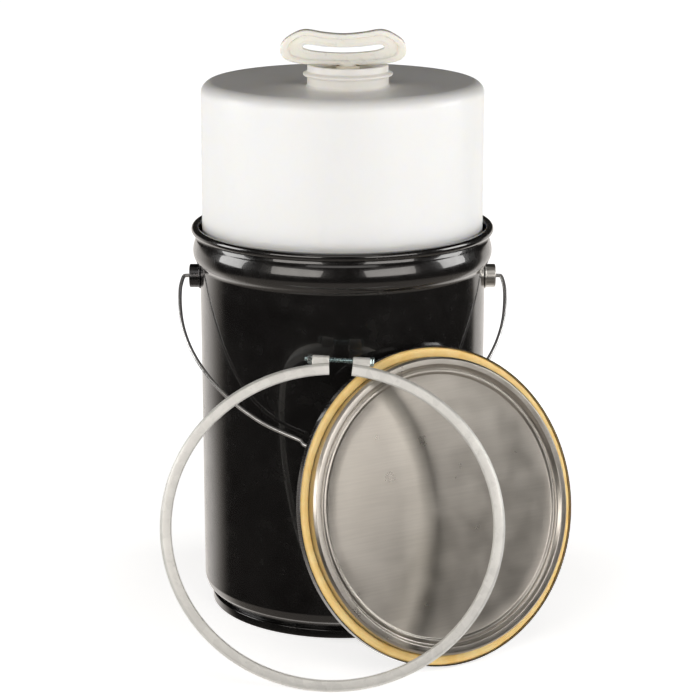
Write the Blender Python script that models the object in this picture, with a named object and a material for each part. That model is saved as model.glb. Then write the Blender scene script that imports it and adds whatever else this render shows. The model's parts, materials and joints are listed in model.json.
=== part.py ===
"""Composite fermenting pail: steel pail, inner plastic bottle, lid and bolt ring.

Units are metres, +Z is up and the front faces -Y. Every sub-part is one object,
and the pieces that move together hang from an empty on their joint axis.
"""
import math

import bpy
from mathutils import Matrix, Vector

for old in list(bpy.data.objects):
    bpy.data.objects.remove(old, do_unlink=True)

# ---------------------------------------------------------------- dimensions
SEGMENTS = 60          # facets round the large round pieces
GAP = 0.0003           # clearance between pieces that touch

# steel pail
PAIL_HEIGHT = 0.392
BODY_R = 0.1430        # outside of the straight wall
SHEET = 0.0009
CURL_R = 0.0042        # radius of the curled rim's section
CURL_OUTER_R = 0.1515
SWELL_R = 0.1500       # outside of the convex swell under the curl
SWELL_LOW, SWELL_HIGH = 0.3525, 0.3800
CHIME_OUTER_R = 0.1352
CHIME_HEIGHT = 0.0085
PANEL_Z = 0.0068       # underside of the recessed bottom panel

# ears and bail
EAR_Z = 0.3375
EAR_R = 0.0118
EAR_DEPTH = 0.0110
EAR_FLANGE_R = 0.0130
EAR_SHEET = 0.0012
WIRE_R = 0.0019
EAR_HOLE_R = 0.0027
BAIL_DROP = 0.2030     # ear axis to the wire in the middle of the grip
GRIP_R = 0.0052
GRIP_HALF = 0.0310
BAIL_REST = math.radians(49.1)   # from straight down to where the grip rests

# inner bottle
BOTTLE_R = 0.1405
BOTTLE_BASE_Z = 0.2345
BOTTLE_TOP_Z = 0.5355
BOTTLE_WALL = 0.0021
SHOULDER_R = 0.0125
BASE_R = 0.0240         # clears the pail's necked-in bottom
NECK_X, NECK_Y = 0.0056, -0.0450
NECK_R = 0.0392
NECK_BEAD_R = 0.0434
MOUTH_R = 0.0364
SEAT_R = 0.0335        # bore under the plug
MOUTH_Z = 0.5570
SEAT_Z = 0.5420

# plug and its loop handle
PLUG_R = MOUTH_R - GAP
BOSS_R = 0.0118
STEM_R = 0.0086
LOOP_X = -0.0045        # the handle sits a little left of the plug's middle
LOOP_Z = 0.5725
LOOP_RIM_HALF = 0.0070
LOOP_WEB_HALF = 0.0028

# lid
LID_R = 0.1533
LID_SKIRT = 0.0070
LID_SINK = 0.0160
LID_X, LID_Y = 0.0905, -0.1615
LID_TURN, LID_LEAN = math.radians(31), math.radians(16)

# bolt ring
RING_R = 0.1530         # outside at the top and bottom, sprung open
RING_WIDE = 0.0082      # so much more at the sides
RING_DEPTH = 0.0102     # radial depth of the channel
RING_HALF = 0.0082     # half of the channel's width
RING_SHEET = 0.0014
RING_GAP = math.radians(4.2)     # half of the gap, seen from the ring's centre
RING_X, RING_Y = -0.0086, -0.2256
RING_TURN, RING_LEAN = math.radians(1), math.radians(18.4)
RING_ROLL = math.radians(3.2)    # the gap is turned off the top
BOLT_R = 0.0025
BOLT_AXIS_R = RING_R + BOLT_R + 0.0006   # ring centre to bolt axis
LUG_LENGTH = 0.0160
LUG_SHEET = 0.0010
NUT_R, NUT_LENGTH = 0.0046, 0.0040
HEAD_R, HEAD_LENGTH = 0.0046, 0.0036


# ------------------------------------------------------------------- helpers
def material(name, colour, roughness, metallic=0.0, alpha=1.0):
    mat = bpy.data.materials.new(name)
    mat.use_nodes = True
    shader = mat.node_tree.nodes["Principled BSDF"]
    shader.inputs["Base Color"].default_value = (*colour, 1.0)
    shader.inputs["Roughness"].default_value = roughness
    shader.inputs["Metallic"].default_value = metallic
    shader.inputs["Alpha"].default_value = alpha
    return mat


def add(name, verts, faces, mat, parent=None, smooth=32):
    """A mesh object with outward normals, shaded smooth below the given angle."""
    mesh = bpy.data.meshes.new(name)
    mesh.from_pydata(verts, [], faces)
    mesh.validate()
    volume = 0.0
    for poly in mesh.polygons:
        corners = [mesh.vertices[i].co for i in poly.vertices]
        for a, b in zip(corners[1:], corners[2:]):
            volume += corners[0].dot(a.cross(b))
    if volume < 0:
        mesh.flip_normals()
    mesh.shade_smooth()
    mesh.set_sharp_from_angle(angle=math.radians(smooth))
    mesh.materials.append(mat)
    obj = bpy.data.objects.new(name, mesh)
    bpy.context.scene.collection.objects.link(obj)
    obj.parent = parent
    return obj


def pivot(name, location, parent=None, rotation=(0, 0, 0)):
    """An empty on a joint axis."""
    empty = bpy.data.objects.new(name, None)
    bpy.context.scene.collection.objects.link(empty)
    empty.empty_display_size = 0.02
    empty.location = location
    empty.rotation_euler = rotation
    empty.parent = parent
    return empty


def lathe(profile, segments=SEGMENTS, start=0.0, sweep=None, wide=0.0):
    """Revolves (radius, z[, centre x, centre y]) points about Z.

    A point of radius 0 closes the end with a fan. An open profile whose ends
    aren't on the axis is closed on itself, as a ring. With sweep, the ring is
    cut to that angle and both cut ends are capped. wide is added to the radius
    along X, so that a sprung ring isn't a true circle.
    """
    verts, faces, rings = [], [], []
    full = sweep is None
    steps = segments if full else segments + 1
    for point in profile:
        radius, z = point[:2]
        cx, cy = point[2:] if len(point) == 4 else (0.0, 0.0)
        if radius == 0:
            rings.append([len(verts)])
            verts.append((cx, cy, z))
            continue
        ring = []
        for k in range(steps):
            angle = start + (math.tau if full else sweep) * k / segments
            reach = radius + wide * math.cos(angle) ** 2
            ring.append(len(verts))
            verts.append((cx + reach * math.cos(angle), cy + reach * math.sin(angle), z))
        rings.append(ring)
    closed = len(rings[0]) > 1
    pairs = list(zip(rings, rings[1:])) + ([(rings[-1], rings[0])] if closed else [])
    for low, high in pairs:
        for k in range(segments):
            n = (k + 1) % steps
            if len(low) == 1:
                faces.append((low[0], high[n], high[k]))
            elif len(high) == 1:
                faces.append((low[k], low[n], high[0]))
            else:
                faces.append((low[k], low[n], high[n], high[k]))
    if not full:
        faces.append([ring[0] for ring in rings])
        faces.append([ring[-1] for ring in reversed(rings)])
    return verts, faces


def arc(cx, cz, radius, first, last, steps):
    """Points on a circle in the profile plane, angles in degrees."""
    out = []
    for k in range(steps + 1):
        a = math.radians(first + (last - first) * k / steps)
        out.append((cx + radius * math.cos(a), cz + radius * math.sin(a)))
    return out


def offset_inward(points, thickness):
    """The inner face of a sheet whose outer face is the given open profile."""
    inner = []
    for k, (r, z) in enumerate(points):
        before = points[max(k - 1, 0)]
        after = points[min(k + 1, len(points) - 1)]
        along = Vector((after[0] - before[0], after[1] - before[1])).normalized()
        inner.append((r - along.y * thickness, z + along.x * thickness))
    return inner


def tube(path, radius, sides=10):
    """A round bar along a list of points, with flat ends."""
    verts, faces = [], []
    path = [Vector(p) for p in path]
    along = (path[1] - path[0]).normalized()
    side = along.cross(Vector((0, 0, 1)) if abs(along.z) < 0.9 else Vector((0, 1, 0))).normalized()
    for k, point in enumerate(path):
        before, after = path[max(k - 1, 0)], path[min(k + 1, len(path) - 1)]
        new = (after - before).normalized()
        side = (along.rotation_difference(new)) @ side
        along = new
        up = along.cross(side)
        for s in range(sides):
            a = math.tau * s / sides
            verts.append(point + radius * (math.cos(a) * side + math.sin(a) * up))
    for k in range(len(path) - 1):
        for s in range(sides):
            n = (s + 1) % sides
            a, b = k * sides, (k + 1) * sides
            faces.append((a + s, a + n, b + n, b + s))
    faces.append(list(range(sides - 1, -1, -1)))
    faces.append([len(verts) - sides + s for s in range(sides)])
    return verts, faces


def smooth_path(points, per_span, closed=False):
    """A Catmull-Rom curve through the points."""
    points = [Vector(p) for p in points]
    count = len(points)
    out = []
    for k in range(count if closed else count - 1):
        if closed:
            a, b, c, d = (points[(k + i) % count] for i in (-1, 0, 1, 2))
        else:
            a, b, c, d = (points[min(max(k + i, 0), count - 1)] for i in (-1, 0, 1, 2))
        for s in range(per_span):
            t = s / per_span
            out.append(0.5 * ((2 * b) + (c - a) * t + (2 * a - 5 * b + 4 * c - d) * t * t
                              + (3 * b - a - 3 * c + d) * t ** 3))
    if not closed:
        out.append(points[-1])
    return out


def drilled_bar(outline_at, hole_r, stations):
    """A bar along X with a round hole through it.

    outline_at(x) gives the outline in (y, z) at each of the stations in x.
    """
    verts, faces = [], []
    for x in stations:
        outline = outline_at(x)
        verts += [(x, y, z) for y, z in outline]
        for y, z in outline_at(stations[0]):
            a = math.atan2(z, y)
            verts.append((x, hole_r * math.cos(a), hole_r * math.sin(a)))
    count = len(outline)
    last = 2 * count * (len(stations) - 1)
    for k in range(count):
        n = (k + 1) % count
        for low in range(0, last, 2 * count):
            high = low + 2 * count
            faces.append((low + k, low + n, high + n, high + k))
            faces.append((low + count + n, low + count + k, high + count + k, high + count + n))
        faces.append((n, k, count + k, count + n))
        faces.append((last + k, last + n, last + count + n, last + count + k))
    return verts, faces


def hexagon(radius, per_side=4):
    """A hexagon outline with extra points along its sides, for a round hole."""
    out = []
    for k in range(6):
        a0, a1 = math.radians(60 * k), math.radians(60 * (k + 1))
        for s in range(per_side):
            t = s / per_side
            out.append((radius * ((1 - t) * math.cos(a0) + t * math.cos(a1)),
                        radius * ((1 - t) * math.sin(a0) + t * math.sin(a1))))
    return out


# --------------------------------------------------------------- steel pail
root = pivot("pail_root", (0, 0, 0))

curl_x = CURL_OUTER_R - CURL_R
curl_z = PAIL_HEIGHT - CURL_R
chime_in = CHIME_OUTER_R - 0.0033
neck_in = [
    (chime_in + GAP + SHEET, 0.0012),
    (chime_in + GAP + SHEET, 0.0100),
    (BODY_R - 0.0022, 0.0195),
    (BODY_R - 0.0005, 0.0224),
    (BODY_R, 0.0262),
]
swell_mid = (SWELL_LOW + SWELL_HIGH) / 2
wall = neck_in + [
    (BODY_R, 0.185), (BODY_R, SWELL_LOW - 0.0016),
    (BODY_R + 0.0012, SWELL_LOW + 0.0003),
    (SWELL_R - 0.0018, SWELL_LOW + 0.0054),
    (SWELL_R, swell_mid - 0.0030),
    (SWELL_R, swell_mid + 0.0030),
    (SWELL_R - 0.0018, SWELL_HIGH - 0.0054),
    (BODY_R + 0.0030, SWELL_HIGH + 0.0003),
    (BODY_R + 0.0027, SWELL_HIGH + 0.0030),
]
inside = [p for k, p in enumerate(offset_inward(wall, SHEET)) if k not in (2, 4)]
curl = arc(curl_x, curl_z, CURL_R, 180, -75, 9)
curl_in = arc(curl_x, curl_z, CURL_R - SHEET, -75, 165, 5)
profile = inside + curl + curl_in + list(reversed(wall))
add("pail_body", *lathe(profile), material("black_enamel", (0.012, 0.012, 0.013), 0.12), root)

bottom = [
    (0, PANEL_Z), (0.1150, PANEL_Z), (0.1180, PANEL_Z - 0.0018), (0.1215, PANEL_Z - 0.0018),
    (0.1245, PANEL_Z), (chime_in - 0.0026, PANEL_Z), (chime_in - SHEET, PANEL_Z - 0.0024),
    (chime_in - SHEET, 0.0),
    (CHIME_OUTER_R - 0.0009, 0.0), (CHIME_OUTER_R, 0.0009),
    (CHIME_OUTER_R, CHIME_HEIGHT - 0.0009), (CHIME_OUTER_R - 0.0008, CHIME_HEIGHT),
    (chime_in + 2 * GAP + SHEET, CHIME_HEIGHT), (chime_in + 2 * GAP + SHEET, SHEET),
    (chime_in, SHEET), (chime_in, PANEL_Z - 0.0020), (chime_in - 0.0022, PANEL_Z + SHEET),
    (0.1245, PANEL_Z + SHEET), (0.1215, PANEL_Z + SHEET - 0.0018),
    (0.1180, PANEL_Z + SHEET - 0.0018), (0.1150, PANEL_Z + SHEET), (0, PANEL_Z + SHEET),
]
add("pail_bottom", *lathe(bottom), material("black_bottom", (0.014, 0.014, 0.015), 0.18), root)


# --------------------------------------------------------------------- ears
ear = [
    (EAR_FLANGE_R, 0.0), (EAR_FLANGE_R, EAR_SHEET), (EAR_R + 0.0006, EAR_SHEET),
    (EAR_R, EAR_SHEET + 0.0008), (EAR_R, EAR_DEPTH - 0.0018),
    (EAR_R - 0.0008, EAR_DEPTH - 0.0004), (EAR_R - 0.0022, EAR_DEPTH),
    (EAR_HOLE_R, EAR_DEPTH), (EAR_HOLE_R, EAR_DEPTH - EAR_SHEET),
    (EAR_R - EAR_SHEET - 0.0008, EAR_DEPTH - EAR_SHEET),
    (EAR_R - EAR_SHEET, EAR_DEPTH - EAR_SHEET - 0.0008), (EAR_R - EAR_SHEET, 0.0),
]
for side, turn, colour in (("left", -90, (0.05, 0.05, 0.05)), ("right", 90, (0.42, 0.42, 0.40))):
    seat = pivot("ear_%s_axis" % side, ((1 if turn > 0 else -1) * (BODY_R + GAP), 0, EAR_Z),
                 root, (0, math.radians(turn), 0))
    add("ear_%s" % side, *lathe(ear, 28),
        material("ear_%s_zinc" % side, colour, 0.38, 0.9), seat)


# --------------------------------------------------------------------- bail
bail_axis = pivot("bail_axis", (0, 0, EAR_Z), root, (-BAIL_REST, 0, 0))

ear_face = BODY_R + GAP + EAR_DEPTH
half = [
    (GRIP_HALF + 0.0030, BAIL_DROP), (GRIP_HALF + 0.0060, BAIL_DROP - 0.0020),
    (GRIP_HALF + 0.0090, BAIL_DROP - 0.0062),
    (0.0470, 0.1930), (0.0580, 0.1875), (0.0750, 0.1780), (0.0890, 0.1675), (0.1040, 0.1545),
    (0.1180, 0.1395), (0.1310, 0.1225), (0.1430, 0.1030), (0.1525, 0.0820),
    (0.1590, 0.0600), (0.1622, 0.0380), (0.1630, 0.0180), (0.1618, 0.0075),
]
hook = [
    (ear_face + 0.0058, 0.0012), (ear_face + 0.0034, 0.0),
    (ear_face - 0.0060, 0.0), (ear_face - 0.0078, 0.0008), (ear_face - 0.0084, 0.0028),
    (ear_face - 0.0084, 0.0066),
]
bend = smooth_path([(x, 0, -drop) for x, drop in half], 2) + [Vector((x, 0, -d)) for x, d in hook]
path = [Vector((-p.x, p.y, p.z)) for p in reversed(bend)]
path += [Vector((x, 0, -BAIL_DROP)) for x in (-GRIP_HALF, 0, GRIP_HALF)] + bend
add("bail_wire", *tube(path, WIRE_R), material("galvanised_wire", (0.50, 0.50, 0.50), 0.30, 0.95),
    bail_axis, 45)

grip = [
    (WIRE_R + GAP, -GRIP_HALF), (GRIP_R - 0.0008, -GRIP_HALF), (GRIP_R, -GRIP_HALF + 0.0008),
    (GRIP_R, GRIP_HALF - 0.0008), (GRIP_R - 0.0008, GRIP_HALF), (WIRE_R + GAP, GRIP_HALF),
]
grip_axis = pivot("grip_axis", (0, 0, -BAIL_DROP), bail_axis, (0, math.radians(90), 0))
add("bail_grip", *lathe(grip, 24), material("black_grip", (0.02, 0.02, 0.02), 0.45), grip_axis)


# ------------------------------------------------------------- inner bottle
bottle_axis = pivot("bottle_axis", (0, 0, 0), root)
t = BOTTLE_WALL
neck = (NECK_X, NECK_Y)
base, top = BOTTLE_BASE_Z, BOTTLE_TOP_Z


def at_neck(points):
    return [(r, z, *neck) for r, z in points]


outer = [(0, base + 0.0030), (0.0970, base + 0.0030), (0.1070, base)]
outer += arc(BOTTLE_R - BASE_R, base + BASE_R, BASE_R, -90, 0, 4)
outer += [(BOTTLE_R, base + 0.150)]
outer += arc(BOTTLE_R - SHOULDER_R, top - SHOULDER_R, SHOULDER_R, 0, 90, 5)
outer += at_neck([
    (NECK_R + 0.0034, top + 0.0002), (NECK_R + 0.0014, top + 0.0008),
    (NECK_R + 0.0006, top + 0.0024), (NECK_R + 0.0004, top + 0.0100),
    (NECK_BEAD_R, top + 0.0116), (NECK_BEAD_R, top + 0.0132), (NECK_R + 0.0002, top + 0.0150),
    (NECK_R, MOUTH_Z - 0.0012), (NECK_R - 0.0012, MOUTH_Z),
])
inner = at_neck([
    (MOUTH_R + 0.0010, MOUTH_Z), (MOUTH_R, MOUTH_Z - 0.0010), (MOUTH_R, SEAT_Z),
    (SEAT_R, SEAT_Z), (SEAT_R, top - 0.0040), (SEAT_R + 0.0030, top - t),
])
inner += list(reversed(arc(BOTTLE_R - SHOULDER_R, top - SHOULDER_R, SHOULDER_R - t, 0, 90, 3)))
inner += list(reversed(arc(BOTTLE_R - BASE_R, base + BASE_R, BASE_R - t, -90, 0, 3)))
inner += [(0.1070, base + t), (0.0970, base + 0.0030 + t), (0, base + 0.0030 + t)]
add("inner_bottle", *lathe(outer + inner), material("natural_hdpe", (0.86, 0.84, 0.77), 0.42),
    bottle_axis)


# --------------------------------------------------------- plug and handle
plug_axis = pivot("plug_axis", (NECK_X, NECK_Y, SEAT_Z), bottle_axis)
plug = [
    (0, 0.0045), (STEM_R + 0.0030, 0.0045), (PLUG_R - 0.0032, 0.0040),
    (PLUG_R - 0.0024, 0.0004), (PLUG_R - 0.0014, GAP), (PLUG_R - 0.0004, GAP + 0.0006),
    (PLUG_R, 0.0022),
    (PLUG_R, 0.0074), (PLUG_R - 0.0008, 0.0082), (PLUG_R - 0.0020, 0.0082),
    (PLUG_R - 0.0026, 0.0077), (PLUG_R - 0.0034, 0.0068), (PLUG_R - 0.0060, 0.0064),
    (BOSS_R, 0.0064), (BOSS_R, 0.0132), (BOSS_R - 0.0006, 0.0138),
    (STEM_R + GAP, 0.0138), (STEM_R + GAP, 0.0060), (0, 0.0060),
]
add("neck_plug", *lathe(plug, 36), material("plug_hdpe", (0.80, 0.76, 0.64), 0.40), plug_axis)

loop_half = [(0, 0.0136), (0.0190, 0.0151), (0.0370, 0.0177), (0.0500, 0.0130), (0.0590, 0.0056),
             (0.0608, -0.0028), (0.0560, -0.0102), (0.0430, -0.0142), (0.0220, -0.0153)]
hole_half = [(0, 0.0008), (0.0170, 0.0015), (0.0330, 0.0036), (0.0375, 0.0031), (0.0393, 0.0018),
             (0.0388, 0.0003), (0.0365, -0.0008), (0.0300, -0.0025), (0.0160, -0.0040)]


def mirrored(half_points, lowest):
    """The full outline from its right half, which starts at the top centre."""
    return half_points + [(0, lowest)] + [(-x, z) for x, z in reversed(half_points[1:])]


outer_loop = smooth_path([(x, 0, z) for x, z in mirrored(loop_half, -0.0156)], 3, True)
hole_loop = smooth_path([(x, 0, z) for x, z in mirrored(hole_half, -0.0046)], 3, True)
section = [
    (0.00, -LOOP_RIM_HALF + 0.0016), (0.00, LOOP_RIM_HALF - 0.0016), (0.08, LOOP_RIM_HALF),
    (0.34, LOOP_RIM_HALF - 0.0004), (0.46, LOOP_WEB_HALF), (0.92, LOOP_WEB_HALF),
    (1.00, LOOP_WEB_HALF - 0.0012),
]
section += [(s, -y) for s, y in reversed(section[2:])]
verts, faces = [], []
count = len(outer_loop)
for s, y in section:
    for a, b in zip(outer_loop, hole_loop):
        p = a.lerp(b, s)
        verts.append((p.x, y, p.z))
for k in range(len(section)):
    low, high = k * count, ((k + 1) % len(section)) * count
    for s in range(count):
        n = (s + 1) % count
        faces.append((low + s, low + n, high + n, high + s))
loop_z = LOOP_Z - SEAT_Z
loop = add("handle_loop", verts, faces, material("handle_hdpe", (0.84, 0.80, 0.70), 0.35),
           plug_axis, 50)
loop.location = (LOOP_X, 0, loop_z)

stem = [
    (0, 0.0063), (STEM_R - 0.0010, 0.0063), (STEM_R, 0.0073), (STEM_R, 0.0142),
    (STEM_R, loop_z - 0.0125), (0, loop_z - 0.0125),
]
stem_cutter = add("stem", *lathe(stem, 32), loop.data.materials[0], plug_axis)
union = loop.modifiers.new("stem", "BOOLEAN")
union.operation = "UNION"
union.solver = "EXACT"
union.object = stem_cutter
stem_cutter.hide_render = True
stem_cutter.display_type = "WIRE"


# ---------------------------------------------------------------------- lid
def leaning(name, x, y, turn, lean, edge_r, back, front):
    """Seat for a round piece that stands on the floor and leans back.

    The seat's local +Z points back at the pail and local +Y down. back and
    front are the rim's reach from the seat's plane. The seat hangs from an
    empty on the line about which the piece tips forward onto its front face.
    """
    height = edge_r * math.cos(lean) + back * math.sin(lean)
    hinge_front = (front - back * math.sin(lean)) / (1 + math.sin(lean))
    turned = Matrix.Rotation(turn, 4, "Z") @ Matrix.Rotation(-(math.pi / 2 + lean), 4, "X")
    hinge = Matrix.Translation((x, y, height)) @ turned @ Vector((0, edge_r, -hinge_front))
    tip = pivot(name + "_tip_axis", hinge, root, (-(math.pi / 2 + lean), 0, turn))
    return pivot(name + "_seat", (0, -edge_r, hinge_front), tip)


lid_seat = leaning("lid", LID_X, LID_Y, LID_TURN, LID_LEAN, LID_R, 0.0, LID_SINK)
r_wall = 0.1426        # inner wall of the gasket channel
lid_sheet = [
    (0, -0.0105), (0.1262, -0.0105), (0.1280, -0.0120), (0.1300, -0.0120), (0.1320, -0.0108),
    (0.1338, -0.0122), (0.1356, -LID_SINK + SHEET), (0.1396, -LID_SINK + SHEET),
    (r_wall - SHEET, -LID_SINK + SHEET + 0.0024), (r_wall - SHEET, -0.0018),
    (r_wall - SHEET + 0.0016, 0.0), (LID_R - 0.0016, 0.0), (LID_R, -0.0016),
    (LID_R, -LID_SKIRT), (LID_R - SHEET, -LID_SKIRT), (LID_R - SHEET, -0.0020),
    (LID_R - 0.0020, -SHEET), (r_wall + 0.0012, -SHEET), (r_wall, -0.0022),
    (r_wall, -LID_SINK + 0.0026), (0.1402, -LID_SINK), (0.1352, -LID_SINK),
    (0.1332, -0.0130), (0.1318, -0.0118), (0.1300, -0.0129), (0.1280, -0.0129),
    (0.1262, -0.0114), (0, -0.0114),
]
add("lid_panel", *lathe(lid_sheet), material("tinplate", (0.46, 0.44, 0.41), 0.30, 0.9), lid_seat)
gasket = [
    (r_wall + GAP, -SHEET - 0.0020), (r_wall + GAP + 0.0016, -SHEET - GAP),
    (LID_R - SHEET - GAP - 0.0016, -SHEET - GAP), (LID_R - SHEET - GAP, -SHEET - 0.0020),
    (LID_R - SHEET - GAP, -0.0050), (0.1490, -0.0062), (r_wall + GAP, -0.0054),
]
add("lid_gasket", *lathe(gasket), material("ochre_gasket", (0.80, 0.52, 0.14), 0.55), lid_seat)


# ---------------------------------------------------------------- bolt ring
ring_seat = leaning("ring", RING_X, RING_Y, RING_TURN, RING_LEAN, RING_R, RING_HALF, RING_HALF)
zinc = material("ring_zinc", (0.62, 0.62, 0.58), 0.42, 0.85)
ring_in = RING_R - RING_DEPTH
channel = [
    (ring_in, -RING_HALF), (RING_R - 0.0028, -RING_HALF + 0.0008),
    (RING_R - 0.0007, -RING_HALF + 0.0024), (RING_R, -RING_HALF + 0.0046),
    (RING_R, RING_HALF - 0.0046), (RING_R - 0.0007, RING_HALF - 0.0024),
    (RING_R - 0.0028, RING_HALF - 0.0008), (ring_in, RING_HALF),
    (ring_in, RING_HALF - RING_SHEET), (RING_R - 0.0034, RING_HALF - 0.0024),
    (RING_R - RING_SHEET, RING_HALF - 0.0052), (RING_R - RING_SHEET, -RING_HALF + 0.0052),
    (RING_R - 0.0034, -RING_HALF + 0.0024), (ring_in, -RING_HALF + RING_SHEET),
]
add("ring_band", *lathe(channel, SEGMENTS, RING_ROLL - math.pi / 2 + RING_GAP,
                        math.tau - 2 * RING_GAP, RING_WIDE), zinc, ring_seat)

bolt_axis = pivot("bolt_axis", (BOLT_AXIS_R * math.sin(RING_ROLL),
                                -BOLT_AXIS_R * math.cos(RING_ROLL), 0),
                  ring_seat, (0, 0, RING_ROLL))
gap_half = RING_R * math.sin(RING_GAP)
lug_in = BOLT_R + 0.0004
lug_out = lug_in + LUG_SHEET


def saddle(low):
    """A lug of strip folded over the bolt, whose two feet stand on the band."""
    verts, faces = [], []
    for k in range(4):
        x = low + LUG_LENGTH * k / 3
        slope = RING_ROLL + x / RING_R
        reach = RING_R + RING_WIDE * math.sin(slope) ** 2
        foot = BOLT_AXIS_R - GAP - math.sqrt(reach ** 2 - x ** 2)
        for radius in (lug_out, lug_in):
            bow = [(foot, radius), (0.5 * foot, radius)]
            bow += arc(0.0, 0.0, radius, 90, 270, 10)
            bow += [(0.5 * foot, -radius), (foot, -radius)]
            verts += [(x, y, z) for y, z in bow]
    count = len(bow)
    for k in range(3):
        a, b = 2 * count * k, 2 * count * (k + 1)
        for s in range(count - 1):
            faces.append((a + s, a + s + 1, b + s + 1, b + s))
            faces.append((a + count + s + 1, a + count + s, b + count + s, b + count + s + 1))
        faces.append((a, b, b + count, a + count))
        faces.append((a + count - 1, a + 2 * count - 1, b + 2 * count - 1, b + count - 1))
    last = 6 * count
    for s in range(count - 1):
        faces.append((s + 1, s, count + s, count + s + 1))
        faces.append((last + s, last + s + 1, last + count + s + 1, last + count + s))
    return verts, faces


for side, low in (("left", -gap_half - LUG_LENGTH), ("right", gap_half)):
    add("ring_lug_%s" % side, *saddle(low),
        material("lug_%s_zinc" % side, (0.60, 0.60, 0.57), 0.40, 0.85), bolt_axis, 40)

nut_low = -gap_half - LUG_LENGTH - GAP - NUT_LENGTH
add("ring_nut",
    *drilled_bar(lambda x: hexagon(NUT_R), BOLT_R + GAP, [nut_low, nut_low + NUT_LENGTH]),
    material("nut_zinc", (0.45, 0.50, 0.50), 0.32, 0.9), bolt_axis)

head_low = gap_half + LUG_LENGTH + GAP
shank = [(0, nut_low - 0.0030), (BOLT_R - 0.0008, nut_low - 0.0030), (BOLT_R, nut_low - 0.0022)]
shank += [(BOLT_R, head_low)]
bolt = []
for radius, x in shank:
    bolt.append([(x, radius * math.cos(math.tau * k / 24), radius * math.sin(math.tau * k / 24))
                 for k in range(24)] if radius else [(x, 0, 0)])
hexa = hexagon(HEAD_R)
bolt.append([(head_low, y, z) for y, z in hexa])
bolt.append([(head_low + HEAD_LENGTH - 0.0006, y, z) for y, z in hexa])
bolt.append([(head_low + HEAD_LENGTH, 0.86 * y, 0.86 * z) for y, z in hexa])
bolt.append([(head_low + HEAD_LENGTH, 0, 0)])
verts, faces, rings = [], [], []
for ring in bolt:
    rings.append(range(len(verts), len(verts) + len(ring)))
    verts += ring
for low, high in zip(rings, rings[1:]):
    for k in range(24):
        n = (k + 1) % 24
        if len(low) == 1:
            faces.append((low[0], high[n], high[k]))
        elif len(high) == 1:
            faces.append((low[k], low[n], high[0]))
        else:
            faces.append((low[k], low[n], high[n], high[k]))
add("ring_bolt", verts, faces, material("bolt_zinc", (0.40, 0.47, 0.47), 0.28, 0.9), bolt_axis)


# ------------------------------------- centre the whole on the floor's origin
bpy.context.view_layer.update()
corners = []
for obj in bpy.data.objects:
    if obj.type == "MESH" and not obj.hide_render:
        corners += [obj.matrix_world @ v.co for v in obj.data.vertices]
low = Vector(min(c[i] for c in corners) for i in range(3))
high = Vector(max(c[i] for c in corners) for i in range(3))
root.location = (-(low.x + high.x) / 2, -(low.y + high.y) / 2, 0)
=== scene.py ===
"""Looks of the composite fermenting pail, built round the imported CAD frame.

Metres, +Z up, front towards -Y. Each visible piece is made in the local axes of the
CAD body's seat, then placed, and rides on that body.
"""
import json
import math

import bmesh
import bpy
import numpy as np
from mathutils import Matrix, Vector


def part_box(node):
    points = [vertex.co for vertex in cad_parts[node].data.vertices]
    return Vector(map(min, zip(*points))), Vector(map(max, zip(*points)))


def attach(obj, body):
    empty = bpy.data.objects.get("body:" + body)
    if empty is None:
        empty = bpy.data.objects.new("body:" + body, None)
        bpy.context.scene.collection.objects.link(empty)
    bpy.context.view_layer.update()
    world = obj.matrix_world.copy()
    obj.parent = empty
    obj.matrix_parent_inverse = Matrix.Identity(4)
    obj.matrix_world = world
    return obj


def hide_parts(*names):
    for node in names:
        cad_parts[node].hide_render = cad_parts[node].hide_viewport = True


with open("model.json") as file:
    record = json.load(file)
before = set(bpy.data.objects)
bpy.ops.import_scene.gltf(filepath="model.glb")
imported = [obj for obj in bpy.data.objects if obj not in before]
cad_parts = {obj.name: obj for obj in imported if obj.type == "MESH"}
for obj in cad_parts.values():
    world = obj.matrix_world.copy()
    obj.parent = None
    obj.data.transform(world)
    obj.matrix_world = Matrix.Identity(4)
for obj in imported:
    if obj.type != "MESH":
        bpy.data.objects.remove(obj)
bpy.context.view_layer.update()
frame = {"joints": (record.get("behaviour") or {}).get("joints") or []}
JOINTS = {j["name"]: j for j in frame["joints"]}

# ------------------------------------------------------------- sizes, as in the CAD
GAP = 0.0003
PAIL_HEIGHT, BODY_R, SHEET = 0.392, 0.1430, 0.0009
CURL_R, CURL_OUTER_R = 0.0042, 0.1515
SWELL_R, SWELL_LOW, SWELL_HIGH = 0.1500, 0.3525, 0.3800
CHIME_OUTER_R, CHIME_HEIGHT, PANEL_Z = 0.1352, 0.0085, 0.0068
EAR_Z, EAR_R, EAR_DEPTH = 0.3375, 0.0118, 0.0110
EAR_FLANGE_R, EAR_SHEET, EAR_HOLE_R = 0.0130, 0.0012, 0.0027
WIRE_R, BAIL_DROP, GRIP_R, GRIP_HALF = 0.0019, 0.2030, 0.0052, 0.0310
BAIL_REST = math.radians(49.1)
BOTTLE_R, BOTTLE_BASE_Z, BOTTLE_TOP_Z, BOTTLE_WALL = 0.1405, 0.2345, 0.5355, 0.0021
SHOULDER_R, BASE_R = 0.0125, 0.0240
NECK_R, NECK_BEAD_R, MOUTH_R, SEAT_R = 0.0392, 0.0434, 0.0364, 0.0335
MOUTH_Z, SEAT_Z = 0.5570, 0.5420
PLUG_R, BOSS_R, STEM_R = MOUTH_R - GAP, 0.0118, 0.0086
LOOP_X, LOOP_Z, LOOP_RIM_HALF, LOOP_WEB_HALF = -0.0045, 0.5725, 0.0070, 0.0028
LID_R, LID_SKIRT, LID_SINK, LID_LEAN = 0.1533, 0.0070, 0.0160, math.radians(16)
LID_WALL_R, LID_PANEL_R = 0.1426, 0.126
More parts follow.
